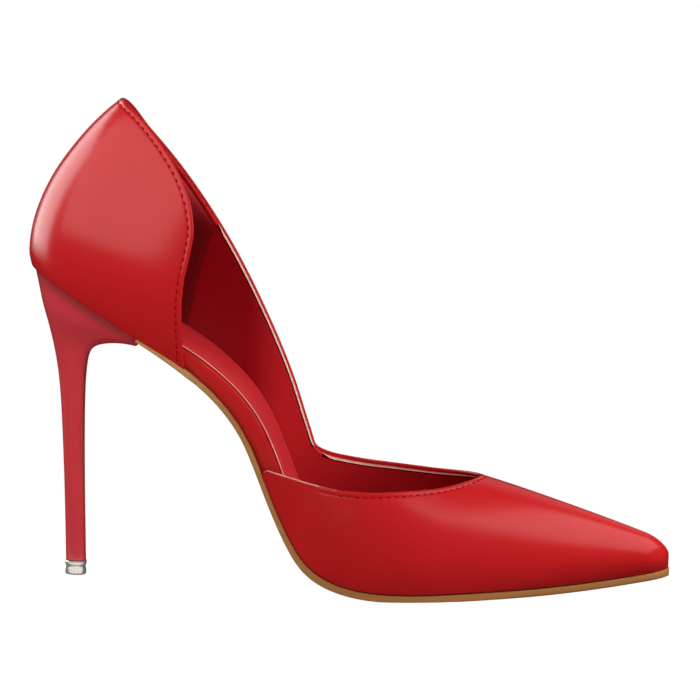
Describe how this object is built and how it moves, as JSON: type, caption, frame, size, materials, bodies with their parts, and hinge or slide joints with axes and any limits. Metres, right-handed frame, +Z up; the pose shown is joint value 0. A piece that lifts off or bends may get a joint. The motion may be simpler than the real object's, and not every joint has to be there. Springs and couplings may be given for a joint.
{
  "type": "pump shoe",
  "caption": "Red leather stiletto pump for the left foot, pointed toe, closed heel counter, inner side cut away between counter and vamp.",
  "frame": {"origin": "on the floor, under the centre of the shoe's bounding box", "axes": "+X towards the toe, +Y towards the outer side of the foot, +Z up"},
  "size_m": [0.2199, 0.0778, 0.1633],
  "materials": {
    "upper_leather": "smooth red leather, satin",
    "board_cover": "smooth red leather, satin",
    "sock_leather": "red lining leather, soft satin",
    "outsole_leather": "tan sole leather, burnished edge",
    "heel_cover": "red, glossy",
    "tip_metal": "polished"
  },
  "bodies": {
    "root": {"upper": "upper_leather", "insole_board": "board_cover", "sock_lining": "sock_leather", "outsole": "outsole_leather", "heel": "heel_cover", "heel_tip": "tip_metal"}
  },
  "joints": []
}
